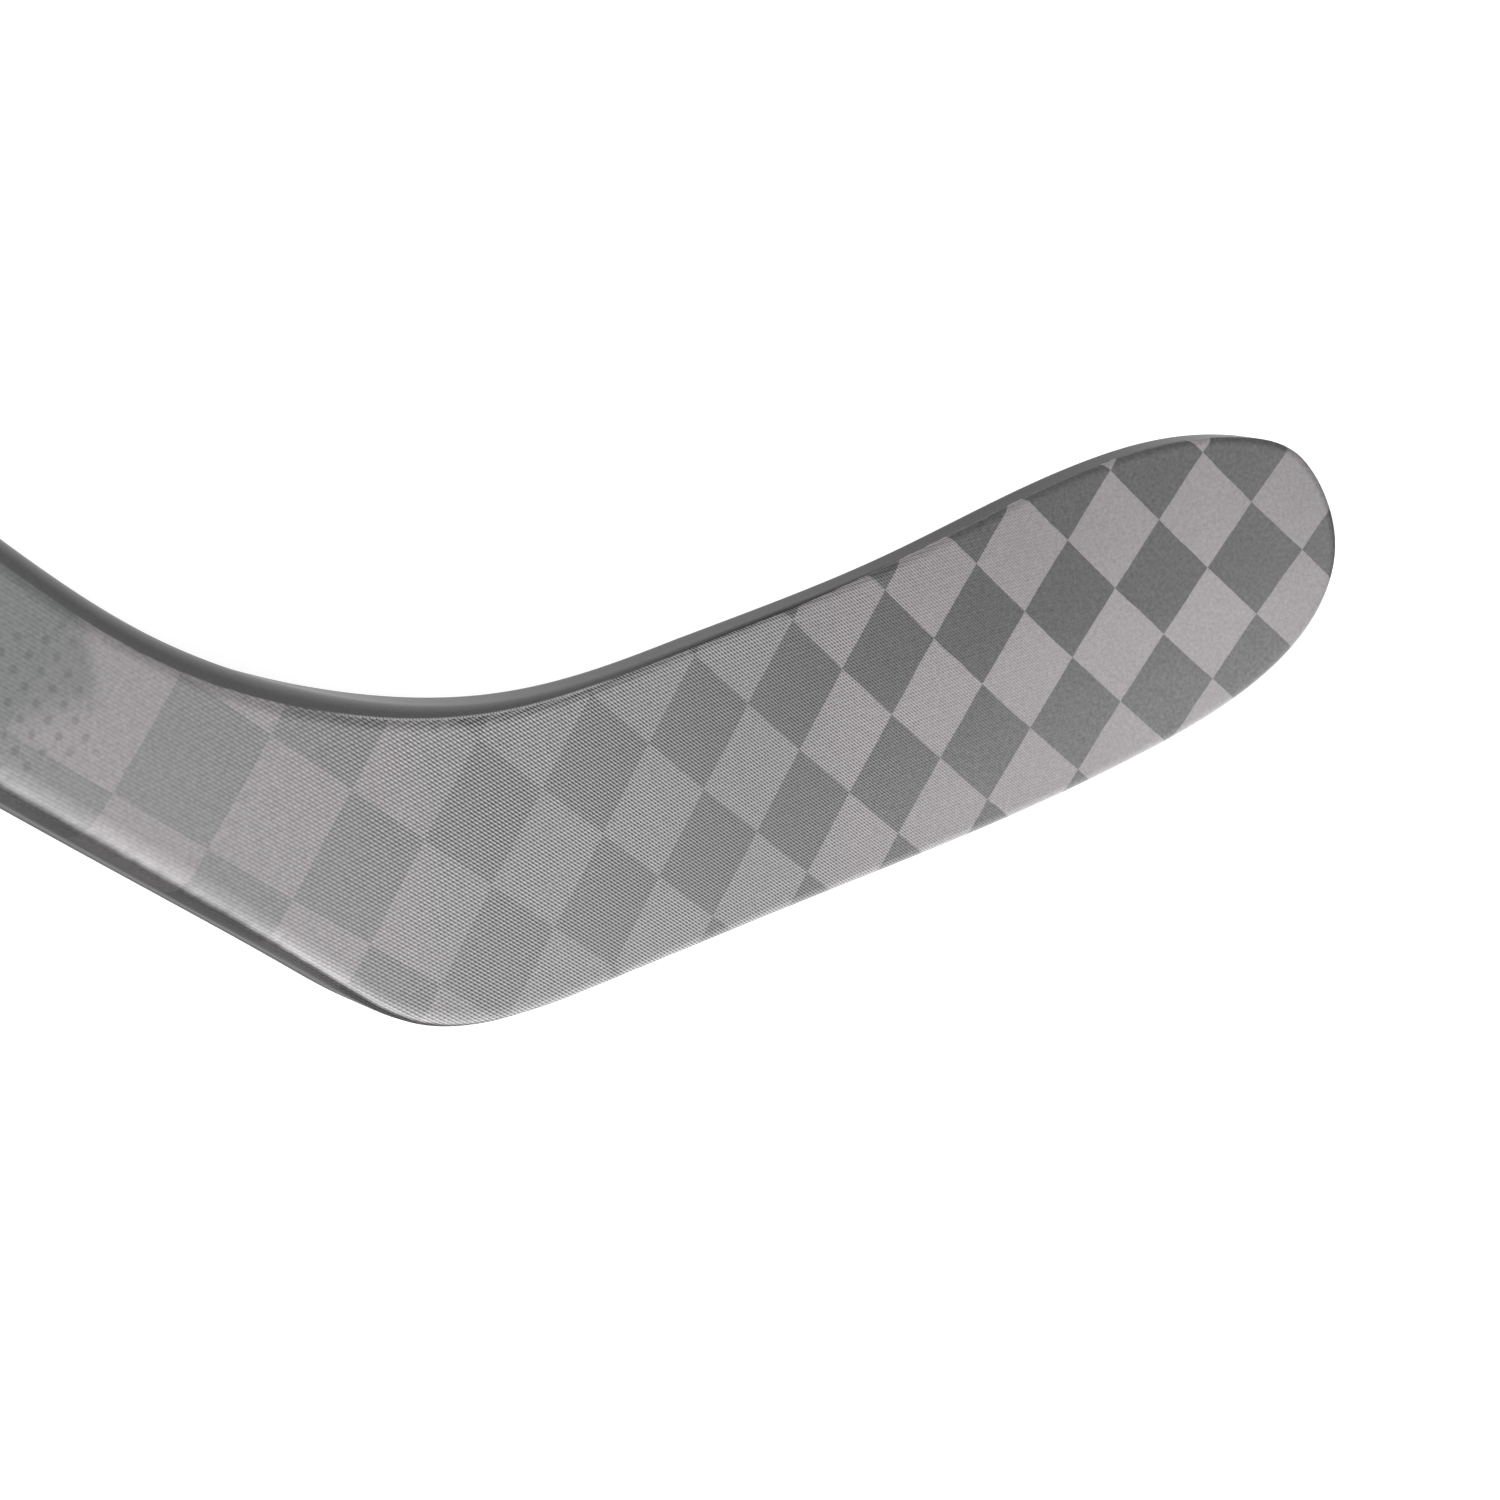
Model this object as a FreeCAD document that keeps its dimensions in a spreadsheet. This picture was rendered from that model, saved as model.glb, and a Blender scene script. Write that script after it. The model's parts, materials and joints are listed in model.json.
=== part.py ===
"""Ice hockey stick: a carbon shaft with a foam-cored carbon blade bonded into its end.

Frame: X runs along the shaft, from the butt end (-X) to the blade (+X). Z is up, square to
the shaft's wide faces, and the blade leans towards +Y. The origin is the middle of the
shaft's wide underside. Millimetres.

The stick lies with the forehand, the hollow side of the blade, facing up.
"""

import FreeCAD, Part
import math
import os
import Sketcher

Vector = FreeCAD.Vector

DIMENSIONS = {
    # shaft
    "shaft_length": 1524.0,  # butt end to the corner of the heel
    "shaft_width": 30.0,
    "shaft_depth": 20.0,
    "corner_radius": 5.0,
    "shaft_wall": 1.6,
    # butt plug
    "cap_length": 6.0,
    "cap_round": 2.0,
    "stem_length": 38.0,
    "stem_play": 0.1,
    # joint between shaft and blade, measured back from the corner of the heel
    "heel_to_joint": 155.0,
    "tenon_in_shaft": 62.0,
    "tenon_in_hosel": 55.0,
    "tenon_wall": 2.0,
    "bond_gap": 0.3,
    "dam_length": 30.0,
    "wrap_reach": 18.0,
    "wrap_thickness": 0.6,
    # blade, seen square to the shaft's wide face
    "lie_turn": 42.6,  # from the line of the shaft to the line of the bottom edge
    "blade_thickness": 6.4,
    "thinning_turn": 33.6,  # direction in which the hosel thins into the blade
    "thinning_middle": -12.0,
    "thinning_spread": 18.0,
    # curve of the forehand face, in hundreds of millimetres of run from curve_start
    "curve_start": -86.0,
    "curve_rise": 0.99,
    "curve_power": 3.52,
    "twist_rise": 5.13,
    "twist_level": 94.4,
    "twist_ease": 0.4,
    # layers of the blade
    "skin_thickness": 1.2,
    "edge_wall": 3.4,
    "edge_round": 1.6,
    "rib_thickness": 2.0,
    "rib_height": 36.0,  # above the bottom edge's line
    "heel_core_end": 26.0,  # along the bottom edge's line, from the heel
    "toe_core_start": 196.0,
    "heel_wrap_end": 10.0,
    "toe_wrap_start": 205.0,
}

doc = FreeCAD.newDocument("hockey_stick")
sheet = doc.addObject("Spreadsheet::Sheet", "dims")
for row, (alias, value) in enumerate(DIMENSIONS.items(), start=1):
    sheet.set(f"A{row}", alias)
    sheet.set(f"B{row}", str(value))
    sheet.setAlias(f"B{row}", alias)
doc.recompute()

# positions along X, as expressions on the sheet
BUTT = "-dims.shaft_length / 2"
HEEL = "dims.shaft_length / 2"
JOINT = f"({HEEL} - dims.heel_to_joint)"
TENON_START = f"({JOINT} - dims.tenon_in_shaft)"

# insets from the shaft's outside
SURFACE = "0"
CLEAR = "-5"  # for a cutting shape, which stands clear of the shaft all round
TENON_INSET = "dims.shaft_wall + dims.bond_gap"


def size(alias):
    """The value of one cell of the sheet."""
    return float(sheet.get(alias))


# ---------------------------------------------------------------- straight pieces


def rounded_rectangle(sketch, tag, width, depth, radius):
    """A rounded rectangle about the sketch's origin, its three sizes bound to expressions.

    It is drawn at one size, and the bound constraints then set the real one.
    """
    half_w, half_d, r = 15.0, 10.0, 4.0
    inner_w, inner_d = half_w - r, half_d - r
    lines = [
        ((-inner_w, -half_d), (inner_w, -half_d)),
        ((half_w, -inner_d), (half_w, inner_d)),
        ((inner_w, half_d), (-inner_w, half_d)),
        ((-half_w, inner_d), (-half_w, -inner_d)),
    ]
    centres = [(inner_w, -inner_d), (inner_w, inner_d), (-inner_w, inner_d), (-inner_w, -inner_d)]
    line_ids = []
    arc_ids = []
    for k in range(4):
        start, end = lines[k]
        line_ids.append(sketch.addGeometry(Part.LineSegment(Vector(*start, 0), Vector(*end, 0)), False))
        circle = Part.Circle(Vector(*centres[k], 0), Vector(0, 0, 1), r)
        from_angle = math.radians(-90 + 90 * k)
        arc = Part.ArcOfCircle(circle, from_angle, from_angle + math.pi / 2)
        arc_ids.append(sketch.addGeometry(arc, False))
    for k in range(4):
        add = sketch.addConstraint
        add(Sketcher.Constraint("Tangent", line_ids[k], 2, arc_ids[k], 1))
        add(Sketcher.Constraint("Tangent", arc_ids[k], 2, line_ids[(k + 1) % 4], 1))
        add(Sketcher.Constraint("Vertical" if k % 2 else "Horizontal", line_ids[k]))
        if k:
            add(Sketcher.Constraint("Equal", arc_ids[0], arc_ids[k]))
    sketch.addConstraint(Sketcher.Constraint("Symmetric", arc_ids[3], 3, arc_ids[1], 3, -1, 1))
    bind(sketch, f"{tag}_width", width, "DistanceX", line_ids[3], 2, line_ids[1], 1, 2 * half_w)
    bind(sketch, f"{tag}_depth", depth, "DistanceY", line_ids[0], 1, line_ids[2], 2, 2 * half_d)
    bind(sketch, f"{tag}_radius", radius, "Radius", arc_ids[0], r)


def bind(sketch, name, expression, *constraint):
    """Adds one driving constraint and binds it to an expression on the sheet."""
    index = sketch.addConstraint(Sketcher.Constraint(*constraint))
    sketch.renameConstraint(index, name)
    sketch.setExpression(f"Constraints.{name}", expression)


def section_sketch(body, name, station):
    """A sketch across the shaft, centred on the shaft's own middle, at a station along X."""
    sketch = body.newObject("Sketcher::SketchObject", name)
    plane = next(f for f in body.Origin.OriginFeatures if f.Role == "YZ_Plane")
    sketch.AttachmentSupport = [(plane, "")]
    sketch.MapMode = "FlatFace"
    sketch.setExpression("AttachmentOffset.Base.y", "dims.shaft_depth / 2")
    sketch.setExpression("AttachmentOffset.Base.z", station)
    return sketch


def profile_sizes(inset):
    """Width, depth and corner radius of the shaft's section, taken in by an expression."""
    return (
        f"dims.shaft_width - 2 * ({inset})",
        f"dims.shaft_depth - 2 * ({inset})",
        f"dims.corner_radius - ({inset})",
    )


def new_body(label):
    body = doc.addObject("PartDesign::Body", label)
    body.Label = label
    return body


def pad(body, name, station, length, outer, inner=None):
    """Pads the shaft's section, or the ring between two insets of it, along +X."""
    sketch = section_sketch(body, f"{name}_section", station)
    rounded_rectangle(sketch, "outer", *profile_sizes(outer))
    if inner is not None:
        rounded_rectangle(sketch, "inner", *profile_sizes(inner))
    feature = body.newObject("PartDesign::Pad", name)
    feature.Profile = sketch
    feature.setExpression("Length", length)
    return feature


def make_shaft_tube():
    """The hollow shaft, cut back around its lower end for the wrap that covers the joint."""
    body = new_body("shaft_tube")
    length = "dims.shaft_length - dims.heel_to_joint"
    pad(body, "tube", BUTT, length, SURFACE, "dims.shaft_wall")
    sketch = section_sketch(body, "relief_section", JOINT)
    rounded_rectangle(sketch, "outer", *profile_sizes(CLEAR))
    rounded_rectangle(sketch, "inner", *profile_sizes("dims.wrap_thickness"))
    relief = body.newObject("PartDesign::Pocket", "wrap_relief")
    relief.Profile = sketch
    relief.setExpression("Length", "dims.wrap_reach")
    return body


def make_butt_plug():
    """A cap on the butt end, with a stem that fits the shaft's bore."""
    body = new_body("butt_plug")
    cap = pad(body, "cap", f"{BUTT} - dims.cap_length", "dims.cap_length", SURFACE)
    doc.recompute()
    end_face = min(range(len(cap.Shape.Faces)), key=lambda k: cap.Shape.Faces[k].CenterOfMass.x)
    fillet = body.newObject("PartDesign::Fillet", "cap_edge")
    fillet.Base = (cap, [f"Face{end_face + 1}"])
    fillet.setExpression("Radius", "dims.cap_round")
    pad(body, "stem", BUTT, "dims.stem_length", "dims.shaft_wall + dims.stem_play")
    return body


def make_straight_piece(label, station, length, outer, inner=None):
    """A piece of one section all along, solid or hollow."""
    body = new_body(label)
    pad(body, label + "_pad", station, length, outer, inner)
    return body


straight_pieces = [
    make_shaft_tube(),
    make_butt_plug(),
    make_straight_piece(
        "shaft_foam_plug",
        f"{TENON_START} - dims.dam_length",
        "dims.dam_length",
        "dims.shaft_wall",
    ),
    make_straight_piece(
        "tenon_bond", TENON_START, "dims.tenon_in_shaft", "dims.shaft_wall", TENON_INSET
    ),
    make_straight_piece(
        "joint_wrap",
        f"{JOINT} - dims.wrap_reach",
        "2 * dims.wrap_reach",
        SURFACE,
        "dims.wrap_thickness",
    ),
    make_straight_piece(
        "tenon_tube",
        TENON_START,
        "dims.tenon_in_shaft + dims.tenon_in_hosel",
        TENON_INSET,
        f"{TENON_INSET} + dims.tenon_wall",
    ),
    make_straight_piece(
        "tenon_core",
        TENON_START,
        "dims.tenon_in_shaft + dims.tenon_in_hosel",
        f"{TENON_INSET} + dims.tenon_wall",
    ),
]

# ---------------------------------------------------------------- blade

# Outline of the hosel and blade, seen square to the shaft's wide face. The points are
# millimetres from the corner of the heel, along the shaft and across it from its rear
# side. It runs from the joint along the rear side, round the heel, along the bottom
# edge, round the toe and back along the top edge.
REAR_TO_TOE = [
    (-80.0, 0.0),
    (-40.0, 0.0),
    (-16.8, 1.4),
    (0.5, 9.0),
    (20.9, 24.5),
    (63.1, 62.5),
    (105.1, 106.6),
    (131.0, 143.8),
    (142.8, 171.5),
    (144.5, 193.4),
]
TOE_TO_FRONT = [
    (136.7, 211.9),
    (124.8, 220.7),
    (112.2, 223.4),
    (99.8, 217.5),
    (73.2, 188.0),
    (39.9, 137.6),
    (1.4, 92.5),
    (-37.1, 56.4),
    (-78.2, 36.8),
    (-106.4, 30.6),
]
heel_x = size("shaft_length") / 2
rear_y = -size("shaft_width") / 2
joint_x = heel_x - size("heel_to_joint")
LOWEST = -20.0
HIGHEST = 140.0
MARGIN = 12.0  # by which a surface or a cutting shape reaches past the blade
FAR = 400.0  # farther than any point of the blade is from the heel
ALL_ALONG = (f"-{FAR}", f"{FAR}")


def outline_spline(points):
    """A smooth curve through points, level with the shaft at both ends."""
    along = Vector(1, 0, 0)
    curve = Part.BSplineCurve()
    curve.interpolate(Points=points, InitialTangent=along, FinalTangent=-along)
    return curve


def outline_curves(inset):
    """The outline from the joint round the toe to the joint, taken in by inset.

    It is one spline, split where the rounding of the long edges changes.
    """
    ends = [(-size("heel_to_joint"), 0.0), (-size("heel_to_joint"), size("shaft_width"))]
    points = [Vector(x, y, 0) for x, y in [ends[0], *REAR_TO_TOE, *TOE_TO_FRONT, ends[1]]]
    curve = outline_spline(points)
    if inset:
        inner = []
        for point in points:
            tangent = curve.tangent(curve.parameter(point))[0]
            inner.append(point + Vector(-tangent.y, tangent.x, 0) * inset)
        points = inner
        curve = outline_spline(points)
    stops = [curve.parameter(points[k]) for k in (0, 1, 4, -5, -2, -1)]
    pieces = []
    for low, high in zip(stops, stops[1:]):
        piece = curve.copy()
        piece.segment(low, high)
        piece.translate(Vector(heel_x, rear_y, LOWEST))
        pieces.append(piece)
    return pieces


def outline_prism(inset):
    """An upright block with the blade's outline, taken in by inset all round."""
    pieces = outline_curves(inset)
    closing = Part.LineSegment(pieces[-1].EndPoint, pieces[0].StartPoint)
    wire = Part.Wire([piece.toShape() for piece in [*pieces, closing]])
    return Part.Face(wire).extrude(Vector(0, 0, HIGHEST - LOWEST))


def blade_place(x, y):
    """Distances of a point along the bottom edge's line and up from it, from the heel."""
    turn = math.radians(size("lie_turn"))
    along = (x - heel_x) * math.cos(turn) + (y - rear_y) * math.sin(turn)
    above = -(x - heel_x) * math.sin(turn) + (y - rear_y) * math.cos(turn)
    return along, above


def forehand_height(x, y):
    """Height of the hollow, upward face: level on the hosel, then rising towards the toe."""
    along, above = blade_place(x, y)
    run = max(0.0, along - size("curve_start")) / 100
    curve = size("curve_rise") * run ** size("curve_power")
    twist = size("twist_rise") * run**2 / (run + size("twist_ease"))
    return size("shaft_depth") + curve + twist * (size("twist_level") - above) / 100


def thickness(x, y):
    """Upright thickness: the shaft's depth at the joint, easing to the thin blade."""
    turn = math.radians(size("thinning_turn"))
    along = (x - heel_x) * math.cos(turn) + (y - rear_y) * math.sin(turn)
    share = 1 / (1 + math.exp((along - size("thinning_middle")) / size("thinning_spread")))
    square = size("blade_thickness") + (size("shaft_depth") - size("blade_thickness")) * share
    run = max(0.0, blade_place(x, y)[0] - size("curve_start")) / 100
    slope = size("curve_rise") * size("curve_power") * run ** (size("curve_power") - 1) / 100
    return square * math.hypot(1, slope)


def backhand_height(x, y):
    return forehand_height(x, y) - thickness(x, y)


def under(height, shift):
    """Everything under a surface given as a height above the plan, shifted by shift."""
    tip_x = heel_x + max(x for x, y in REAR_TO_TOE)
    tip_y = rear_y + max(y for x, y in TOE_TO_FRONT)
    x_low, x_high = joint_x - MARGIN, tip_x + MARGIN
    y_low, y_high = rear_y - MARGIN, tip_y + MARGIN
    columns, rows = 17, 13
    grid = []
    for i in range(columns):
        x = x_low + (x_high - x_low) * i / (columns - 1)
        ys = [y_low + (y_high - y_low) * k / (rows - 1) for k in range(rows)]
        grid.append([Vector(x, y, height(x, y) + shift) for y in ys])
    surface = Part.BSplineSurface()
    surface.interpolate(grid)
    return surface.toShape().extrude(Vector(0, 0, LOWEST - HIGHEST))


def freeform(name, shape):
    """A document object for a shape with a free-form surface."""
    feature = doc.addObject("Part::Feature", name)
    feature.Shape = shape
    return feature


def boolean(kind, label, base, tool):
    """A Part::Cut or Part::Common of two document objects."""
    feature = doc.addObject(f"Part::{kind}", label)
    feature.Base = base
    feature.Tool = tool
    feature.Label = label
    return feature


def edge_rounding(x):
    """Radius of the long edges: the shaft's at the joint, the blade's from the heel on."""
    start, end = heel_x + REAR_TO_TOE[0][0], heel_x + REAR_TO_TOE[3][0]
    share = min(1.0, max(0.0, (x - start) / (end - start)))
    return size("corner_radius") + (size("edge_round") - size("corner_radius")) * share


def make_blank():
    """Hosel and blade as one block, with its long edges rounded."""
    near = 1.0
    block = outline_prism(0).common(under(forehand_height, 0)).cut(under(backhand_height, 0))
    block = freeform("blade_block", block.Solids[0])
    rounded = []
    for index, edge in enumerate(block.Shape.Edges, start=1):
        start, end = (edge.valueAt(p) for p in (edge.FirstParameter, edge.LastParameter))
        upright = math.hypot(end.x - start.x, end.y - start.y) < near
        at_joint = max(start.x, end.x) < joint_x + near
        if not upright and not at_joint:
            rounded.append((index, edge_rounding(start.x), edge_rounding(end.x)))
    blank = doc.addObject("Part::Fillet", "blade_blank")
    blank.Base = block
    blank.Edges = rounded
    return blank


def blade_box(label, along, above):
    """A block in the blade's own directions, between two expressions along and two above."""
    box = doc.addObject("Part::Box", label)
    box.setExpression("Length", f"{along[1]} - ({along[0]})")
    box.setExpression("Width", f"{above[1]} - ({above[0]})")
    box.Height = HIGHEST - LOWEST
    turn = math.radians(size("lie_turn"))
    corner_x = f"({along[0]}) * {math.cos(turn)!r} - ({above[0]}) * {math.sin(turn)!r}"
    corner_y = f"({along[0]}) * {math.sin(turn)!r} + ({above[0]}) * {math.cos(turn)!r}"
    box.Placement.Rotation = FreeCAD.Rotation(Vector(0, 0, 1), size("lie_turn"))
    box.setExpression("Placement.Base.x", f"{HEEL} + {corner_x}")
    box.setExpression("Placement.Base.y", f"-dims.shaft_width / 2 + {corner_y}")
    box.Placement.Base.z = LOWEST
    return box


def rear_half():
    """The space on the rear and bottom side of a line down the middle of hosel and blade."""
    turn = math.radians(size("lie_turn"))
    middle_end = 60  # the line leaves the hosel's middle this far before the heel
    beside = 80  # clear of the blade on its rear and bottom side

    def in_plan(along, above):
        x = heel_x + along * math.cos(turn) - above * math.sin(turn)
        return Vector(x, rear_y + along * math.sin(turn) + above * math.cos(turn), LOWEST)

    middle = rear_y + size("shaft_width") / 2
    corners = [
        Vector(joint_x - MARGIN, middle, LOWEST),
        Vector(heel_x - middle_end, middle, LOWEST),
        in_plan(size("heel_core_end"), size("rib_height")),
        in_plan(FAR, size("rib_height")),
        in_plan(FAR, -beside),
        Vector(heel_x + beside, rear_y - beside, LOWEST),
        Vector(joint_x - MARGIN, rear_y - beside, LOWEST),
    ]
    wire = Part.makePolygon([*corners, corners[0]])
    return freeform("rear_half", Part.Face(wire).extrude(Vector(0, 0, HIGHEST - LOWEST)))


def make_skins(inside, below_forehand, below_backhand, relief):
    """The two faces of the blade, which stop short of its rounded edges."""
    forehand = boolean("Cut", "forehand_sheet", inside, below_forehand)
    backhand = boolean("Common", "backhand_sheet", inside, below_backhand)
    return [
        boolean("Cut", "forehand_skin", forehand, relief),
        boolean("Cut", "backhand_skin", backhand, relief),
    ]


def make_edges(edge, relief, tenon_space):
    """The solid carbon edge, in four lengths, let in for the wrap and the tenon."""
    edge = boolean("Cut", "relieved_edge", edge, relief)
    edge = boolean("Cut", "hollowed_edge", edge, tenon_space)
    toe_end = blade_box("toe_wrap_space", ("dims.toe_wrap_start", ALL_ALONG[1]), ALL_ALONG)
    heel_end = blade_box("heel_wrap_space", (ALL_ALONG[0], "dims.heel_wrap_end"), ALL_ALONG)
    rear = rear_half()
    short_of_toe = boolean("Cut", "edge_short_of_toe", edge, toe_end)
    low_edge = boolean("Common", "low_edge", short_of_toe, rear)
    return [
        boolean("Cut", "top_edge_wrap", short_of_toe, rear),
        boolean("Common", "toe_edge_wrap", edge, toe_end),
        boolean("Cut", "bottom_edge_wrap", low_edge, heel_end),
        boolean("Common", "heel_edge_wrap", low_edge, heel_end),
    ]


def make_cores(core_block, tenon_space):
    """Foam pieces, the rib between them, and the filler around the tenon."""
    rib = ("dims.rib_height - dims.rib_thickness / 2", "dims.rib_height + dims.rib_thickness / 2")
    toe_space = blade_box("toe_space", ("dims.toe_core_start", ALL_ALONG[1]), ALL_ALONG)
    heel_space = blade_box("heel_space", (ALL_ALONG[0], "dims.heel_core_end"), ALL_ALONG)
    rib_space = blade_box("rib_space", ALL_ALONG, rib)
    upper_space = blade_box("upper_space", ALL_ALONG, (rib[1], ALL_ALONG[1]))
    lower_space = blade_box("lower_space", ALL_ALONG, (ALL_ALONG[0], rib[0]))
    hosel_space = make_straight_piece("hosel_space", JOINT, "dims.tenon_in_hosel", CLEAR)
    heel = boolean("Common", "heel_block", core_block, heel_space)
    off_heel = boolean("Cut", "core_off_heel", core_block, heel_space)
    middle = boolean("Cut", "middle_block", off_heel, toe_space)
    in_hosel = boolean("Common", "hosel_block", heel, hosel_space)
    return [
        boolean("Common", "toe_core", core_block, toe_space),
        boolean("Common", "bridge_rib", middle, rib_space),
        boolean("Common", "upper_core", middle, upper_space),
        boolean("Common", "lower_core", middle, lower_space),
        boolean("Cut", "heel_core", heel, hosel_space),
        boolean("Cut", "hosel_filler", in_hosel, tenon_space),
    ]


def make_blade():
    """All pieces of hosel and blade, each cut from the one rounded blank."""
    blank = make_blank()
    relief = make_straight_piece(
        "hosel_relief", JOINT, "dims.wrap_reach", CLEAR, "dims.wrap_thickness"
    )
    tenon_space = make_straight_piece("tenon_space", JOINT, "dims.tenon_in_hosel", TENON_INSET)
    inside_wall = freeform("inside_wall", outline_prism(size("edge_wall")))
    below_forehand = freeform("below_forehand", under(forehand_height, -size("skin_thickness")))
    below_backhand = freeform("below_backhand", under(backhand_height, size("skin_thickness")))
    edge = boolean("Cut", "edge_block", blank, inside_wall)
    inside = boolean("Common", "inside_block", blank, inside_wall)
    layers = boolean("Common", "inner_layers", inside, below_forehand)
    core_block = boolean("Cut", "core_block", layers, below_backhand)
    skins = make_skins(inside, below_forehand, below_backhand, relief)
    return [*skins, *make_edges(edge, relief, tenon_space), *make_cores(core_block, tenon_space)]


def check_and_write(pieces):
    """Stops at the first unsound object, then writes each piece to its own file."""
    doc.recompute()
    for item in doc.Objects:
        if {"Invalid", "Error"} & set(item.State):
            raise RuntimeError(f"{item.Label} failed: {item.State}")
    os.makedirs("parts", exist_ok=True)
    for piece in pieces:
        shape = piece.Shape
        if shape.isNull() or not shape.isValid() or not shape.Solids:
            raise RuntimeError(f"{piece.Label} has no valid solid")
        print(f"{piece.Label:18s} {len(shape.Solids)} solid  {shape.Volume / 1000:8.2f} cm3")
        shape.exportStep(f"parts/{piece.Label}.step")


check_and_write([*straight_pieces, *make_blade()])
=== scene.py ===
"""Looks of the ice hockey stick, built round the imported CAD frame.

Everything is in the frame of the CAD model: X runs along the shaft towards the blade, and Z
is up from the shaft's wide underside. Blender objects are in metres. The blade's shape is
worked out in millimetres from the corner of the heel, as it is in the CAD model.
"""

import json
import math

import bpy
import numpy as np
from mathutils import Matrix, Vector


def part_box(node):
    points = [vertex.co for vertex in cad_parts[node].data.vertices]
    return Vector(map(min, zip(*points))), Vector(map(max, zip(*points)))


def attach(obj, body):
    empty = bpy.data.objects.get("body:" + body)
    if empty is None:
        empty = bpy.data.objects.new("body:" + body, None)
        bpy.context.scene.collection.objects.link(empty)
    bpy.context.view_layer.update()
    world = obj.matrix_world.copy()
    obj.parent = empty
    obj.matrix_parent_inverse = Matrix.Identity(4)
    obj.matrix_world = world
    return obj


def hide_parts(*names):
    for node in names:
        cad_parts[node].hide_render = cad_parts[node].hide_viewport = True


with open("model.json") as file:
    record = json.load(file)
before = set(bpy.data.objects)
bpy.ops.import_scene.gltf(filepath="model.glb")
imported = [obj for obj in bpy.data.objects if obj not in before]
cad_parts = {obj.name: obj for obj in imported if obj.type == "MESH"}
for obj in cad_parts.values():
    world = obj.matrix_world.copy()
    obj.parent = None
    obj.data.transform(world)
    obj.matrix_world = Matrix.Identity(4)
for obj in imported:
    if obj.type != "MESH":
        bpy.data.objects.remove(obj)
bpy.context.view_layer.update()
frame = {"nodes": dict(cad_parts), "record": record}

MM = 0.001
BODY = "root"

# ---------------------------------------------------------------- shape of the blade

WRAP_TO_HEEL = 137.0  # from the end of the joint's wrap to the corner of the heel
wrap_low, wrap_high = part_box("joint_wrap")
SHAFT_WIDTH = (wrap_high.y - wrap_low.y) / MM
SHAFT_DEPTH = (wrap_high.z - wrap_low.z) / MM
HEEL = np.array([wrap_high.x / MM + WRAP_TO_HEEL, wrap_low.y / MM])

# outline, from the joint along the rear side, round the toe and back along the top edge
JOINT_TO_HEEL = 155.0
REAR_TO_TOE = [
    (-80.0, 0.0),
    (-40.0, 0.0),
    (-16.8, 1.4),
    (0.5, 9.0),
    (20.9, 24.5),
    (63.1, 62.5),
    (105.1, 106.6),
    (131.0, 143.8),
    (142.8, 171.5),
    (144.5, 193.4),
]
TOE_TO_FRONT = [
    (136.7, 211.9),
    (124.8, 220.7),
    (112.2, 223.4),
    (99.8, 217.5),
    (73.2, 188.0),
    (39.9, 137.6),
    (1.4, 92.5),
    (-37.1, 56.4),
    (-78.2, 36.8),
    (-106.4, 30.6),
]
LIE = math.radians(42.6)
BLADE_THICKNESS = 6.4
THINNING_TURN, THINNING_MIDDLE, THINNING_SPREAD = math.radians(33.6), -12.0, 18.0
CURVE_START, CURVE_RISE, CURVE_POWER = -86.0, 0.99, 3.52
TWIST_RISE, TWIST_LEVEL, TWIST_EASE = 5.13, 94.4, 0.4
SHAFT_ROUND, BLADE_ROUND = 5.0, 1.6
SKIN = 1.2
EDGE_WALL = 3.4
HEEL_WRAP_END, TOE_WRAP_START = 10.0, 205.0

# fineness of the mesh
RIBS = 180  # from the joint to the tip of the toe
ACROSS = 26  # from the rear edge to the front edge


def blade_place(x, y):
    """Distances along the bottom edge's line and up from it."""
    along = x * math.cos(LIE) + y * math.sin(LIE)
    above = -x * math.sin(LIE) + y * math.cos(LIE)
    return along, above


def forehand_height(x, y):
    along, above = blade_place(x, y)
    run = np.maximum(0.0, along - CURVE_START) / 100
    twist = TWIST_RISE * run**2 / (run + TWIST_EASE)
    return SHAFT_DEPTH + CURVE_RISE * run**CURVE_POWER + twist * (TWIST_LEVEL - above) / 100


def backhand_height(x, y):
    across = x * math.cos(THINNING_TURN) + y * math.sin(THINNING_TURN)
    share = 1 / (1 + np.exp((across - THINNING_MIDDLE) / THINNING_SPREAD))
    square = BLADE_THICKNESS + (SHAFT_DEPTH - BLADE_THICKNESS) * share
    run = np.maximum(0.0, blade_place(x, y)[0] - CURVE_START) / 100
    slope = CURVE_RISE * CURVE_POWER * run ** (CURVE_POWER - 1) / 100
    return forehand_height(x, y) - square * np.hypot(1, slope)


def surface_normal(height, x, y):
    """Unit upward normal of a height surface."""
    step = 0.01
    slope_x = (height(x + step, y) - height(x - step, y)) / (2 * step)
    slope_y = (height(x, y + step) - height(x, y - step)) / (2 * step)
    normal = np.stack([-slope_x, -slope_y, np.ones_like(slope_x)], axis=-1)
    return normal / np.linalg.norm(normal, axis=-1, keepdims=True)


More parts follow.
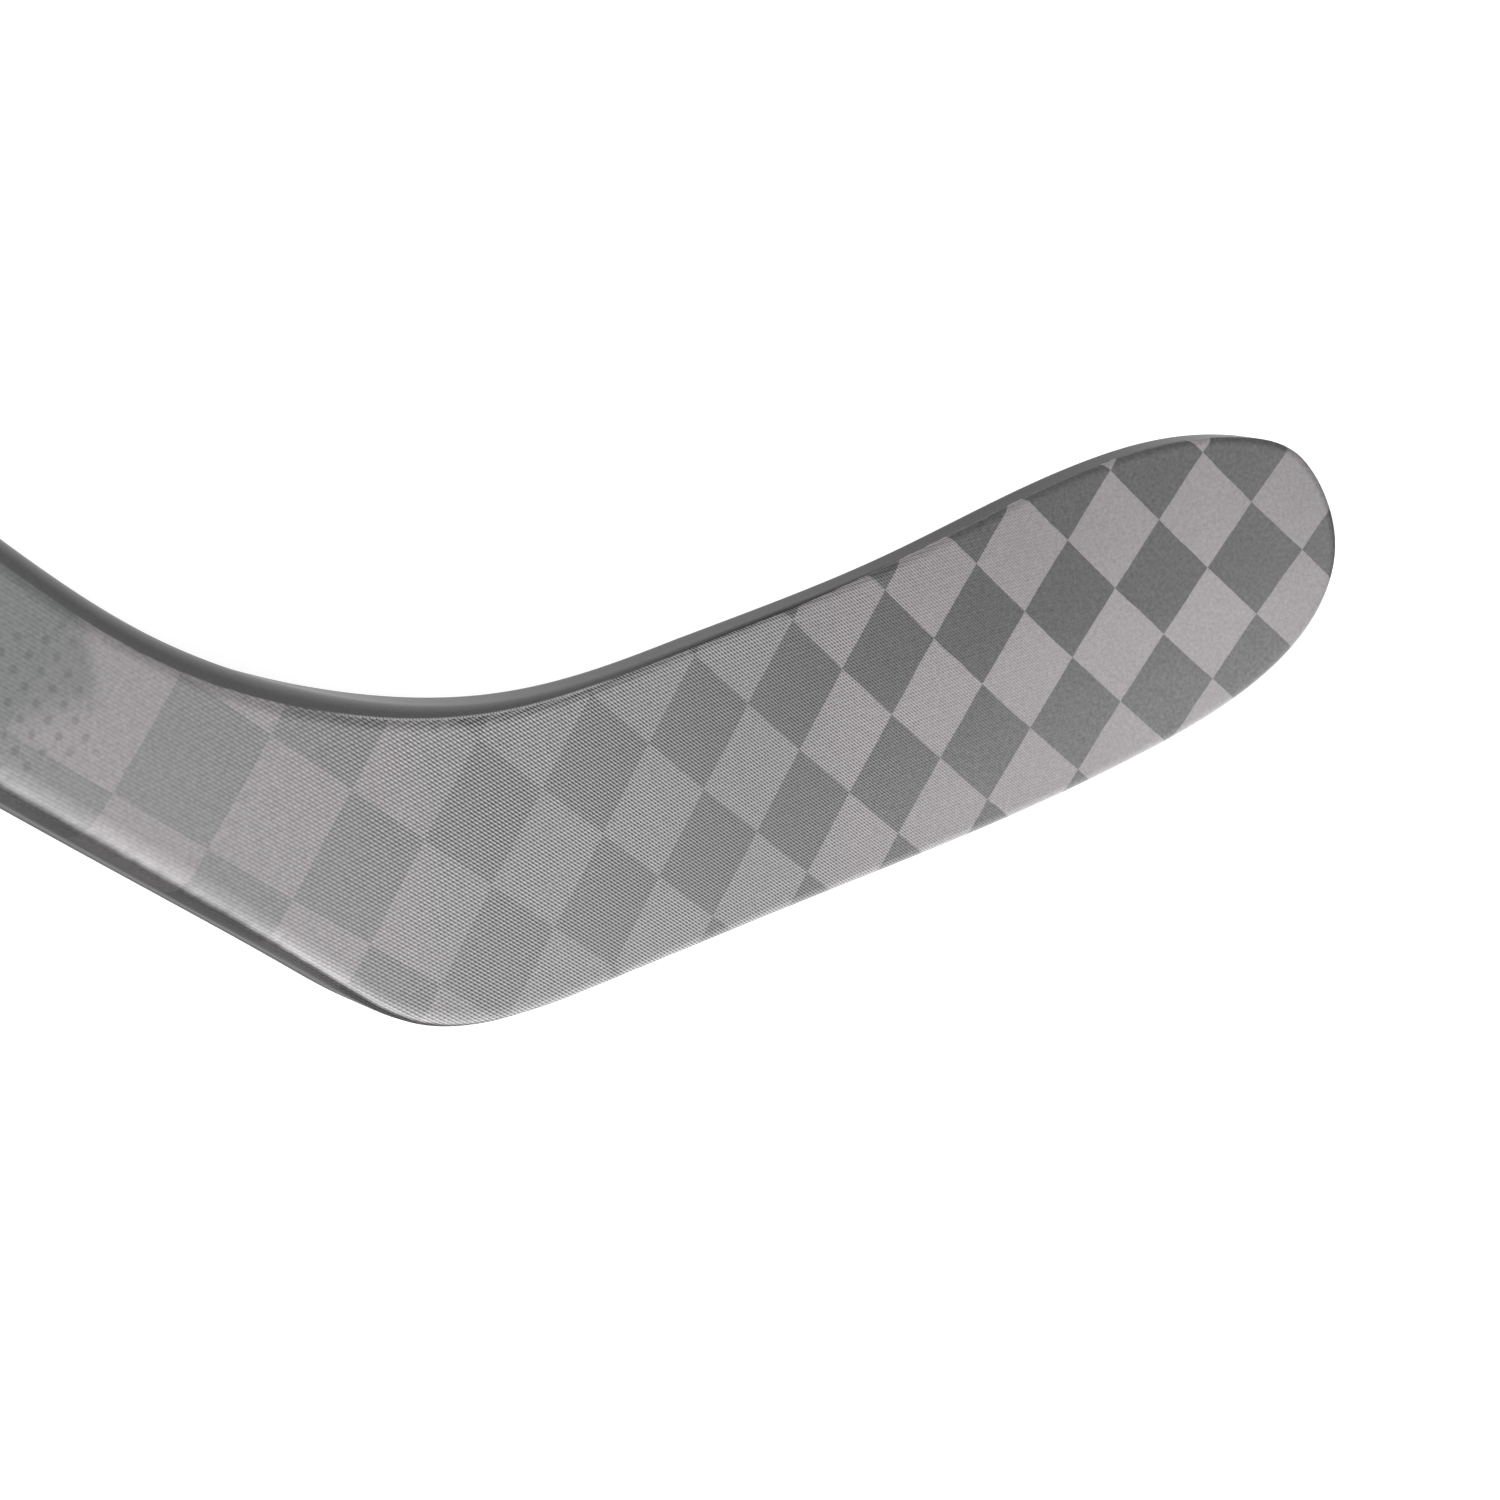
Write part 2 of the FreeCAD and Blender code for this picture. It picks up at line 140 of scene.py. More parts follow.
class Outline:
    """The smooth closed-end curve through the outline's points, by chord length."""

    def __init__(self):
        ends = [(-JOINT_TO_HEEL, 0.0), (-JOINT_TO_HEEL, SHAFT_WIDTH)]
        self.points = np.array([ends[0], *REAR_TO_TOE, *TOE_TO_FRONT, ends[1]])
        self.steps = np.linalg.norm(np.diff(self.points, axis=0), axis=1)
        self.knots = np.concatenate([[0.0], np.cumsum(self.steps)])
        count = len(self.points)
        matrix, right = np.eye(count), np.zeros((count, 2))
        right[0], right[-1] = (1, 0), (-1, 0)
        chords = np.diff(self.points, axis=0) / self.steps[:, None]
        for k in range(1, count - 1):
            before, after = self.steps[k - 1], self.steps[k]
            matrix[k, k - 1 : k + 2] = after, 2 * (before + after), before
            right[k] = 3 * (after * chords[k - 1] + before * chords[k])
        self.slopes = np.linalg.solve(matrix, right)

    def at(self, lengths):
        """Points, and unit normals that point into the blade."""
        k = np.clip(np.searchsorted(self.knots, lengths, "right") - 1, 0, len(self.steps) - 1)
        step = self.steps[k][:, None]
        f = (lengths - self.knots[k])[:, None] / step
        p0, p1, m0, m1 = self.points[k], self.points[k + 1], self.slopes[k], self.slopes[k + 1]
        point = p0 * (1 + 2 * f) * (1 - f) ** 2 + p1 * f**2 * (3 - 2 * f)
        point = point + step * (m0 * f * (1 - f) ** 2 - m1 * f**2 * (1 - f))
        along = 6 * f * (1 - f) * (p1 - p0) / step
        along = along + m0 * (1 - f) * (1 - 3 * f) + m1 * f * (3 * f - 2)
        along = along / np.linalg.norm(along, axis=1, keepdims=True)
        return point, np.stack([-along[:, 1], along[:, 0]], axis=1)

    def samples(self):
        """Lengths from the wrap round the toe to the wrap, the tip being number RIBS."""
        tip_knot = len(REAR_TO_TOE) + 1
        tip = (self.knots[tip_knot] + self.knots[tip_knot + 1]) / 2
        start = JOINT_TO_HEEL - WRAP_TO_HEEL
        rear = np.linspace(start, tip, RIBS + 1)
        front = np.linspace(tip, self.knots[-1] - start, RIBS + 1)
        return np.concatenate([rear, front[1:]])


def smoothstep(low, high, value):
    share = np.clip((value - low) / (high - low), 0, 1)
    return share * share * (3 - 2 * share)


# ---------------------------------------------------------------- woven tape

TAPE = 20.0  # width of one tape
TAPE_ORIGIN = np.array([-119.889, 75.672])  # the heel's corner, along and across the cloth
TAPE_ALONG = np.array([0.67731, 0.70806, 0.19974])
TAPE_ACROSS = np.array([0.70541, -0.70213, 0.09697])
TAPE_BEND, TAPE_BEND_GROWTH = -0.22037, -0.06193  # slope of the bent sheet along its length
CLOTH_SHIFT = 100.0  # puts the cloth's zero near the toe


def weave_place(x, y):
    """Where the flat cloth lies on the face: lengths along and across it, in millimetres."""
    point = np.stack([x, y, forehand_height(x, y) - SHAFT_DEPTH], axis=-1)
    level = (TAPE_ORIGIN[0] + point @ TAPE_ALONG) / 100
    across = TAPE_ORIGIN[1] + point @ TAPE_ACROSS
    bent = level
    for _ in range(3):
        gain = TAPE_BEND**2 * bent**3 / 3 + TAPE_BEND * TAPE_BEND_GROWTH * bent**4 / 2
        gain = gain + TAPE_BEND_GROWTH**2 * bent**5 / 5
        bent = level + gain / 2
    return 100 * bent - CLOTH_SHIFT, across


def face_maps(x, y, rim):
    """The UV maps at points of the plan: the tapes' own squares, the cloth, and the rim."""
    along, across = weave_place(x, y)
    diagonal = TAPE * math.sqrt(2)
    squares = np.stack([(along + across) / diagonal, (across - along) / diagonal], axis=-1)
    return {
        "squares": squares,
        "cloth": np.stack([along, across], axis=-1),
        "rim": np.stack([rim, along], axis=-1),
    }


# ---------------------------------------------------------------- edge of the blade

BAND_HOSEL, BAND_MIDDLE, BAND_TOE = 3.4, 0.4, -0.6  # bare edge band within the section's start
REAR_LAP, BOTTOM_LAP, BACK_LAP = 7.5, 2.2, 1.5  # how far the cloth laps round past the outline
LAP_CHANGE = (-30.0, 40.0)  # along the blade
BEAD_HEIGHT, BEAD_HALF = 0.10, 0.22  # moulding line between band and face
BEAD_STATIONS = (-0.6, -0.35, -0.15, 0.0, 0.15, 0.35, 0.6)
FACE_MARGIN, BACK_MARGIN = 0.9, 1.5  # the moulding line keeps this far from the section's ends
INNER_STATIONS, OUTER_STATIONS = 5, 30
ARC_POINTS, ARC_MARGIN = 24, 0.25
ROUND_CHANGE = 80.0  # length before the heel over which the rounding shrinks

# stretches of the top edge, as shares of the way from the tip of the toe to the wrap
BAND_STARTS, BAND_WIDENS, BAND_SPREADS = (0.0, 0.12), (0.35, 0.5), (0.58, 0.95)
BEAD_RISES, BEAD_FALLS = (0.55, 0.65), (0.82, 0.9)


def edge_round(x):
    share = np.clip((x + ROUND_CHANGE) / ROUND_CHANGE, 0, 1)
    return SHAFT_ROUND + (BLADE_ROUND - SHAFT_ROUND) * share


def conic(start, corner, end, weight):
    """A round arc from start to end inside a corner."""
    f = np.linspace(0, 1, ARC_POINTS)[:, None]
    a, b, c = (1 - f) ** 2, 2 * weight * f * (1 - f), f**2
    return (a * start + b * corner + c * end) / (a + b + c)


def corner_arc(height, point, inward, radius, side):
    """Rounding between a face (side 1 is the forehand, -1 the backhand) and the edge's wall.

    In the upright plane square to the outline: distance in from the outline, and height.
    """
    step = 0.5

    def level(inset):
        return float(height(*(point + inward * inset)))

    slope = (level(step) - level(-step)) / (2 * step)
    angle = math.acos(-side * slope / math.hypot(1, slope))
    reach = radius / math.tan(angle / 2)
    inset = reach / math.hypot(1, slope)
    start = np.array([inset, level(inset)])
    corner = np.array([0.0, level(inset) - slope * inset])
    end = corner - np.array([0.0, side * reach])
    return start, conic(start, corner, end, math.sin(angle / 2)), level


def edge_profile(point, inward):
    """Dense outline of the edge's section, from the forehand face round to the backhand."""
    radius = float(edge_round(point[0]))
    top_start, top, forehand = corner_arc(forehand_height, point, inward, radius, 1)
    low_start, low, backhand = corner_arc(backhand_height, point, inward, radius, -1)
    split = max(EDGE_WALL, top_start[0] + ARC_MARGIN, low_start[0] + ARC_MARGIN)
    first = np.array([[split, forehand(split)]])
    last = np.array([[split, backhand(split)]])
    return split, np.concatenate([first, top, low[::-1], last])


class Edge:
    """The rounded edge as a grid of points: one row per place on the outline."""

    def __init__(self, outline):
        points, inward = outline.at(outline.samples())
        front_share = np.clip((np.arange(len(points)) - RIBS) / RIBS, 0, 1)
        along = blade_place(points[:, 0], points[:, 1])[0]
        top = smoothstep(*BAND_STARTS, front_share)
        width = BAND_TOE + (BAND_MIDDLE - BAND_TOE) * smoothstep(*BAND_WIDENS, front_share)
        width = width + (BAND_HOSEL - BAND_MIDDLE) * smoothstep(*BAND_SPREADS, front_share)
        lap = REAR_LAP + (BOTTOM_LAP - REAR_LAP) * smoothstep(*LAP_CHANGE, along)
        bead = smoothstep(*BEAD_RISES, front_share) * (1 - smoothstep(*BEAD_FALLS, front_share))
        self.points, self.inward, self.along = points, inward, along
        self.places, self.rims, self.unrolled = [], [], []
        for k in range(len(points)):
            split, profile = edge_profile(points[k], inward[k])
            lap_end = (split + lap[k]) * (1 - top[k]) + (split - width[k]) * top[k]
            self._add_row(k, split, profile, lap_end, BEAD_HEIGHT * bead[k], top[k])
        self.places = np.array(self.places)
        self.rims = np.array(self.rims)
        self.unrolled = np.array(self.unrolled)

    def _add_row(self, k, split, profile, lap_end, bead, top):
        lengths = np.linalg.norm(np.diff(profile, axis=0), axis=1)
        lengths = np.concatenate([[0.0], np.cumsum(lengths)])
        total = lengths[-1]
        middle = min(max(lap_end, FACE_MARGIN), total - BACK_MARGIN)
        half = BEAD_STATIONS[-1]
        stations = np.concatenate([
            np.linspace(0, middle - half, INNER_STATIONS, endpoint=False),
            middle + np.array(BEAD_STATIONS),
            np.linspace(middle + half, total, OUTER_STATIONS + 1)[1:],
        ])
        inset = np.interp(stations, lengths, profile[:, 0])
        height = np.interp(stations, lengths, profile[:, 1])
        turn = np.gradient(np.stack([inset, height], axis=1), stations, axis=0)
        turn /= np.linalg.norm(turn, axis=1, keepdims=True)
        lift = bead * np.exp(-(((stations - middle) / BEAD_HALF) ** 2))
        inset = inset + turn[:, 1] * lift
        height = height - turn[:, 0] * lift
        plan = self.points[k] + self.inward[k] * inset[:, None]
        self.places.append(np.column_stack([plan, height]))
        back_end = (split + BACK_LAP) * (1 - top) + (split - BAND_MIDDLE) * top
        front_rim, back_rim = lap_end - stations, back_end - (total - stations)
        self.rims.append(np.maximum(front_rim, back_rim))
        flat = np.where(front_rim >= back_rim, split - stations, split - total + stations)
        self.unrolled.append(self.points[k] + self.inward[k] * flat[:, None])

    def normals(self):
        ahead = np.gradient(self.places, axis=0)
        round_section = np.gradient(self.places, axis=1)
        normal = np.cross(round_section, ahead)
        normal /= np.linalg.norm(normal, axis=2, keepdims=True)
        first, last = self.places[:, 0], self.places[:, -1]
        normal[:, 0] = surface_normal(forehand_height, first[:, 0], first[:, 1])
        normal[:, -1] = -surface_normal(backhand_height, last[:, 0], last[:, 1])
        return normal


# ---------------------------------------------------------------- meshes


def finish_piece(name, places, faces, material, stands_for, smooth=None, maps=None):
    """Makes one mesh object from places in millimetres, in the frame of the CAD model.

    smooth is (number of smooth faces, which come first, and the normal at each place).
    maps holds the UV maps by name, with one row for each place.
    """
    mesh = bpy.data.meshes.new(name)
    mesh.from_pydata((np.asarray(places) * MM).tolist(), [], faces)
    mesh.polygons.foreach_set("use_smooth", [True] * len(faces))
    corners = np.zeros(len(mesh.loops), int)
    mesh.loops.foreach_get("vertex_index", corners)
    for map_name, values in (maps or {}).items():
        layer = mesh.uv_layers.new(name=map_name)
        layer.data.foreach_set("uv", np.asarray(values, np.float32)[corners].ravel())
    if smooth:
        count, normals = smooth
        flat = np.zeros(len(faces) * 3)
        mesh.polygons.foreach_get("normal", flat)
        sizes = [len(face) for face in faces]
        split = np.repeat(flat.reshape(-1, 3), sizes, axis=0)
        end = sum(sizes[:count])
        split[:end] = np.asarray(normals)[corners[:end]]
        mesh.normals_split_custom_set(split.tolist())
    mesh.materials.append(material)
    piece = bpy.data.objects.new(name, mesh)
    bpy.context.scene.collection.objects.link(piece)
    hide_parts(*stands_for)
    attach(piece, BODY)
    return piece


def clean(face):
    """A face without repeated corners, or None if fewer than three are left."""
    kept = [corner for k, corner in enumerate(face) if corner != face[k - 1]]
    return tuple(kept) if len(kept) > 2 else None


def make_heel_to_toe_face(name, edge, row, height, side, material, stands_for):
    """A skin of the blade: a grid of ribs between the inner ends of the edge's sections."""
    rear = edge.places[: RIBS + 1, row, :2]
    front = edge.places[RIBS:, row, :2][::-1]
    share = np.linspace(0, 1, ACROSS + 1)[None, :, None]
    plan = rear[:, None] * (1 - share) + front[:, None] * share
    x, y = plan[..., 0].ravel(), plan[..., 1].ravel()
    outer = height(x, y)
    places = np.concatenate([
        np.column_stack([x, y, outer]),
        np.column_stack([x, y, outer - side * SKIN]),
    ])
    width, inner = ACROSS + 1, (RIBS + 1) * (ACROSS + 1)
    tip = RIBS * width

    def at(i, j, layer=0):
        return inner * layer + (tip if i == RIBS else i * width + j)

    def turned(*face):
        return clean(face if side > 0 else face[::-1])

    faces, walls = [], []
    for i in range(RIBS):
        for j in range(ACROSS):
            faces.append(turned(at(i, j), at(i + 1, j), at(i + 1, j + 1), at(i, j + 1)))
            walls.append(turned(at(i, j + 1, 1), at(i + 1, j + 1, 1), at(i + 1, j, 1), at(i, j, 1)))
        walls.append(turned(at(i, 0), at(i, 0, 1), at(i + 1, 0, 1), at(i + 1, 0)))
        walls.append(turned(at(i + 1, ACROSS), at(i + 1, ACROSS, 1), at(i, ACROSS, 1), at(i, ACROSS)))
    for j in range(ACROSS):
        walls.append(turned(at(0, j + 1), at(0, j + 1, 1), at(0, j, 1), at(0, j)))
    faces = [face for face in faces if face]
    every = faces + [face for face in walls if face]
    used = sorted({corner for face in every for corner in face})
    number = {corner: k for k, corner in enumerate(used)}
    every = [tuple(number[corner] for corner in face) for face in every]
    normals = side * surface_normal(height, x, y)
    normals = np.concatenate([normals, -normals])[used]
    maps = face_maps(x, y, np.full(len(x), EDGE_WALL))
    maps = {key: np.concatenate([value, value])[used] for key, value in maps.items()}
    places = in_frame(places[used])
    return finish_piece(
        name, places, every, material, stands_for, (len(faces), normals), maps
    )


def in_frame(places):
    """Places measured from the corner of the heel, moved to the frame of the CAD model."""
    return places + np.array([HEEL[0], HEEL[1], 0.0])


def make_edge_piece(name, edge, first, last, material, stands_for):
    """A length of the blade's edge, closed by an inner wall and by its two ends."""
    rows = edge.places[first : last + 1]
    normals = edge.normals()[first : last + 1].reshape(-1, 3)
    unrolled = edge.unrolled[first : last + 1].reshape(-1, 2)
    rims = edge.rims[first : last + 1].ravel()
    count, width = rows.shape[:2]
    faces, walls = [], []
    for i in range(count - 1):
        for j in range(width - 1):
            a, b = i * width + j, (i + 1) * width + j
            faces.append((a, a + 1, b + 1, b))
        a, b = i * width, (i + 1) * width
        walls.append((a, b, b + width - 1, a + width - 1))
    walls.append(tuple(reversed(range(width))))
    walls.append(tuple(range((count - 1) * width, count * width)))
    maps = face_maps(unrolled[:, 0], unrolled[:, 1], rims)
    places = in_frame(rows.reshape(-1, 3))
    return finish_piece(
        name, places, faces + walls, material, stands_for, (len(faces), normals), maps
    )


def make_blade(material):
    edge = Edge(Outline())
    make_heel_to_toe_face(
        "forehand_face", edge, 0, forehand_height, 1, material, ["forehand_skin"]
    )
    make_heel_to_toe_face(
        "backhand_face", edge, -1, backhand_height, -1, material, ["backhand_skin"]
    )
    heel_end = int(np.argmax(edge.along > HEEL_WRAP_END))
    past = np.nonzero(edge.along > TOE_WRAP_START)[0]
    stops = [0, heel_end, int(past[0]), int(past[-1]), 2 * RIBS]
    names = ["heel_edge", "bottom_edge", "toe_edge", "top_edge"]
    for name, first, last in zip(names, stops, stops[1:]):
        make_edge_piece(name, edge, first, last, material, [name + "_wrap"])


# ---------------------------------------------------------------- shaft, plug and wrap

CORNER_STEPS = 10
SHAFT_WALL, WRAP_DEPTH = 1.6, 0.6
SEAM = 0.25  # depth and width of the groove at each end of the wrap
LEAST_CORNER = 0.3
SHARP = math.radians(40)  # edges that turn more than this are drawn sharp


def shaft_ring(x, inset, radius=SHAFT_ROUND):
    """The shaft's section at a place along X, taken in by inset."""
    ring = []
    reach_y, reach_z = SHAFT_WIDTH / 2 - radius, SHAFT_DEPTH / 2 - radius
    corner = max(radius - inset, LEAST_CORNER)
    extra = inset - (radius - corner)
    for quarter, (sign_y, sign_z) in enumerate([(1, -1), (1, 1), (-1, 1), (-1, -1)]):
        for k in range(CORNER_STEPS + 1):
            angle = math.radians(90 * quarter - 90 + 90 * k / CORNER_STEPS)
            y = sign_y * (reach_y - extra) + corner * math.cos(angle)
            z = sign_z * (reach_z - extra) + corner * math.sin(angle)
            ring.append((x, y, z + SHAFT_DEPTH / 2))
    return ring


def make_sleeve(name, path, material, stands_for, closed):
    """Rings of the shaft's section along a path of (x, inset), closed on itself or capped."""
    rings = [shaft_ring(x, inset) for x, inset in path]
    width = len(rings[0])
    places = np.array(rings).reshape(-1, 3)
    faces = []
    for i in range(len(rings) if closed else len(rings) - 1):
        following = (i + 1) % len(rings)
        for j in range(width):
            k = (j + 1) % width
            faces.append((i * width + j, i * width + k, following * width + k, following * width + j))
    if not closed:
        faces.append(tuple(reversed(range(width))))
        faces.append(tuple(range((len(rings) - 1) * width, len(rings) * width)))
    ring = np.array(rings[0])
    girth = np.concatenate([[0.0], np.cumsum(np.linalg.norm(np.diff(ring, axis=0), axis=1))])
    girth = np.tile(girth, len(rings))
    maps = {"cloth": np.stack([places[:, 0] - HEEL[0], girth], axis=1)}
    piece = finish_piece(name, places, faces, material, stands_for, maps=maps)
    piece.data.set_sharp_from_angle(angle=SHARP)
    return piece


def round_path(x, inset, radius, turn_x, turn_inset, steps=6):
    """A quarter round on a path of (x, inset): from the side that faces along X to the surface."""
    path = []
    for k in range(steps + 1):
        angle = math.radians(90 * k / steps)
        path.append((
            x + turn_x * radius * (1 - math.cos(angle)),
            inset + turn_inset * radius * (1 - math.sin(angle)),
        ))
    return path


def make_shaft(material):
    tube_low, tube_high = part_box("shaft_tube")
    butt, joint, wrap_start = tube_low.x / MM, tube_high.x / MM, wrap_low.x / MM
    end_round = 0.4
    path = [
        *round_path(butt, 0.0, end_round, 1, 1),
        (wrap_start - SEAM, 0.0),
        (wrap_start, SEAM),
        (wrap_start, WRAP_DEPTH),
        (joint, WRAP_DEPTH),
        (joint, SHAFT_WALL),
        (butt, SHAFT_WALL),
    ]
    make_sleeve("shaft", path, material, ["shaft_tube"], True)


def make_wrap(material):
    start, end = wrap_low.x / MM, wrap_high.x / MM
    path = [
        (start, WRAP_DEPTH),
        (start, SEAM),
        (start + SEAM, 0.0),
        (end - SEAM, 0.0),
        (end, SEAM),
        (end, WRAP_DEPTH),
    ]
    make_sleeve("wrap", path, material, ["joint_wrap"], True)


def make_end_plug(material):
    """The plug's cap, with a dished end and a groove before the shaft, and its stem inside."""
    plug_low, plug_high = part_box("butt_plug")
    end, stem_end, butt = plug_low.x / MM, plug_high.x / MM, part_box("shaft_tube")[0].x / MM
    dish, lip, dish_slope, lip_slope = 0.8, 4.0, 1.5, 0.7
    cap_round, cap_steps, groove = 2.0, 8, 0.5
    clearance, stem_chamfer_length, stem_chamfer = 0.1, 2.0, 1.0
    stem = SHAFT_WALL + clearance
    path = [
        (end + dish, lip + dish_slope),
        (end, lip + lip_slope),
        *round_path(end, 0.0, cap_round, 1, 1, cap_steps),
        (butt - 1.2 * groove, 0.0),
        (butt - groove, groove),
        (butt, groove),
        (butt, stem),
        (stem_end - stem_chamfer_length, stem),
        (stem_end, stem + stem_chamfer),
    ]
    make_sleeve("end_plug", path, material, ["butt_plug"], False)


# ---------------------------------------------------------------- materials


class Nodes:
    """Builds one material's nodes. A value may be a number, a colour or another node's output."""

    def __init__(self, name, roughness, specular=0.5, coat=0.0, coat_roughness=0.2):
        self.material = bpy.data.materials.new(name)
        self.material.use_nodes = True
        self.tree = self.material.node_tree
        self.shader = self.tree.nodes["Principled BSDF"]
        self.feed(self.shader.inputs["Roughness"], roughness)
        self.shader.inputs["Specular IOR Level"].default_value = specular
        self.shader.inputs["Coat Weight"].default_value = coat
        self.shader.inputs["Coat Roughness"].default_value = coat_roughness

    def feed(self, socket, value):
        if isinstance(value, bpy.types.NodeSocket):
            self.tree.links.new(value, socket)
        elif socket.type == "RGBA" and len(value) == 3:
            socket.default_value = (*value, 1.0)
        else:
            socket.default_value = value

    def node(self, kind, *values, output=0, **settings):
        node = self.tree.nodes.new("ShaderNode" + kind)
        for key, value in settings.items():
            setattr(node, key, value)
        for socket, value in zip(node.inputs, values):
            self.feed(socket, value)
        return node.outputs[output]

    def math(self, operation, *values, clamp=False):
        return self.node("Math", *values, operation=operation, use_clamp=clamp)

    def add(self, a, b):
        return self.math("ADD", a, b)

    def times(self, a, b):
        return self.math("MULTIPLY", a, b)

    def rest(self, value):
        """What is left of 1."""
        return self.math("SUBTRACT", 1.0, value)

    def gain(self, value, depth, middle=1.0):
        """A factor that follows a value, times depth, about middle."""
        return self.math("MULTIPLY_ADD", value, depth, middle)

    def ease(self, value, low, high, from_value=0.0, to_value=1.0):
        """Goes smoothly from from_value at low to to_value at high."""
        return self.node(
            "MapRange", value, low, high, from_value, to_value, interpolation_type="SMOOTHSTEP"
        )

    def mix(self, share, a, b):
        node = self.tree.nodes.new("ShaderNodeMix")
        node.data_type = "RGBA"
        self.feed(node.inputs["Factor"], share)
        self.feed(node.inputs[6], a)
        self.feed(node.inputs[7], b)
        return node.outputs[2]

    def shade(self, colour, brightness):
        """A colour times a number."""
        return self.node("VectorMath", colour, (0, 0, 0), (0, 0, 0), brightness, operation="SCALE")

    def map(self, name):
        return self.node("UVMap", uv_map=name)

    def split(self, vector):
        node = self.tree.nodes.new("ShaderNodeSeparateXYZ")
        self.feed(node.inputs[0], vector)
        return node.outputs[0], node.outputs[1]

    def place(self):
        """The point's place on the object, in millimetres."""
        coordinate = self.tree.nodes.new("ShaderNodeTexCoord")
        return self.stretch(coordinate.outputs["Object"], (1 / MM, 1 / MM, 1 / MM))

    def upward(self):
        """How far the surface faces up: 1 level, 0 on an upright wall, -1 on the underside."""
        coordinate = self.tree.nodes.new("ShaderNodeTexCoord")
        split = self.tree.nodes.new("ShaderNodeSeparateXYZ")
        self.feed(split.inputs[0], coordinate.outputs["Normal"])
        return split.outputs[2]

    def stretch(self, vector, factors):
        return self.node("VectorMath", vector, factors, operation="MULTIPLY")

    def noise(self, vector, scale, detail=2.0):
        """Cloudy noise between about -1 and 1; scale is in features per unit of vector."""
        raw = self.tree.nodes.new("ShaderNodeTexNoise")
        self.feed(raw.inputs["Vector"], vector)
        raw.inputs["Scale"].default_value = scale
        raw.inputs["Detail"].default_value = detail
        return self.math("MULTIPLY_ADD", raw.outputs["Fac"], 4.0, -2.0)

    def wave(self, vector, frequency):
        """A sine of a map's place, with a frequency in cycles per unit of the map."""
        phase = self.tree.nodes.new("ShaderNodeVectorMath")
        phase.operation = "DOT_PRODUCT"
        self.feed(phase.inputs[0], vector)
        phase.inputs[1].default_value = (*frequency, 0.0)
        return self.math("SINE", self.times(phase.outputs["Value"], 2 * math.pi))

    def finish(self, colour, height=None, distance=0.02):
        """Sets the colour, and a relief whose height of 1 is distance in millimetres."""
        self.feed(self.shader.inputs["Base Color"], colour)
        if height is not None:
            bump = self.tree.nodes.new("ShaderNodeBump")
            bump.inputs["Strength"].default_value = 1.0
            bump.inputs["Distance"].default_value = distance * MM
            self.feed(bump.inputs["Height"], height)
            self.tree.links.new(bump.outputs["Normal"], self.shader.inputs["Normal"])
        return self.material


# the laminate's colours
# the lit and the unlit tapes are the same carbon: the check's contrast is painted sheen, caught by
# the tapes whose fibres run one way
LIT_TAPE_HOSEL, LIT_TAPE_TOE = (0.206, 0.193, 0.196), (0.218, 0.205, 0.208)
LIT_TAPE_MARKED = (0.183, 0.183, 0.183)  # where the peel ply's mark is deep
UNLIT_TAPE_HOSEL, UNLIT_TAPE_TOE = (0.148, 0.149, 0.148), (0.070, 0.070, 0.070)
UNDERLAY = (0.115, 0.121, 0.118)  # a second layer that shows through on the hosel
# the bare band's colour at its outer side and by the face; the change across the band is painted
# shade
BAND_OUTER, BAND_INNER = (0.070, 0.070, 0.071), (0.092, 0.092, 0.093)
MOULDING = (0.38, 0.38, 0.37)  # light resin
FACE_SPECULAR, BAND_SPECULAR = 0.8, 0.3

# stretches along the cloth, from the hosel towards the toe, over which its look changes; at the tip
# painted shade darkens the lit tapes
MARK_DEEPENS, MARK_FADES = (-280.0, -200.0), (-170.0, -15.0)
LIT_TURNS, UNLIT_TURNS, NEAR_TOE = (-150.0, -20.0), (-235.0, -60.0), (-160.0, -60.0)
TIP_PAINTED_SHADE, BAND_DARKENS = (0.0, 35.0), (-250.0, -90.0)
# and across it, from the top edge towards the bottom edge, over which painted light brightens the
# tapes near the toe
LIT_PAINTED_RISE, UNLIT_PAINTED_RISE = (10.0, 45.0), (28.0, 64.0)

# the hosel's second layer: where it starts, along and across the cloth, and its dots
VEIL_ALONG, VEIL_ACROSS, VEIL_STRENGTH = (-281.0, -284.5), (-11.0, -18.0), 0.85
DOTS_ALONG, DOTS_UPPER, DOTS_LOWER = (-282.0, -286.0), (-29.0, -25.0), (-5.0, -9.0)
DOT_ROW, DOT_COLUMN = (0.224, 0.081), (-0.078, 0.214)  # half of the dots' frequency, per mm
DOT_STRENGTH = 0.28

# the peel ply's threads, in turns per mm along and across the cloth, and their shares
DIAGONAL, WEFT, WARP = (-1.165, 1.21), (0.0, 1.167), (-1.162, 0.046)
DIAGONAL_SHARE, WEFT_SHARE, WARP_SHARE = 0.65, 0.25, 0.12
THREAD_CONTRAST = 1.25

# the moulding line's stitches: places along X, and the stitches' phase per mm
SEAM_START, SEAM_END, SEAM_FADE, STITCH = 682.0, 748.0, 6.0, 9.0

# the rear side's painted shade: stretches of X, and its brightness and gloss against the faces
SIDE_FADES, SIDE_LIGHTENS, SIDE_WIDENS = (788.0, 745.0), (622.0, 665.0), (690.0, 740.0)
SIDE_DARKENS = (690.0, 750.0)
SIDE_SHADE_LOW, SIDE_SHADE_HIGH = 0.05, 0.25
SIDE_GLOSS_LOSS = 0.96


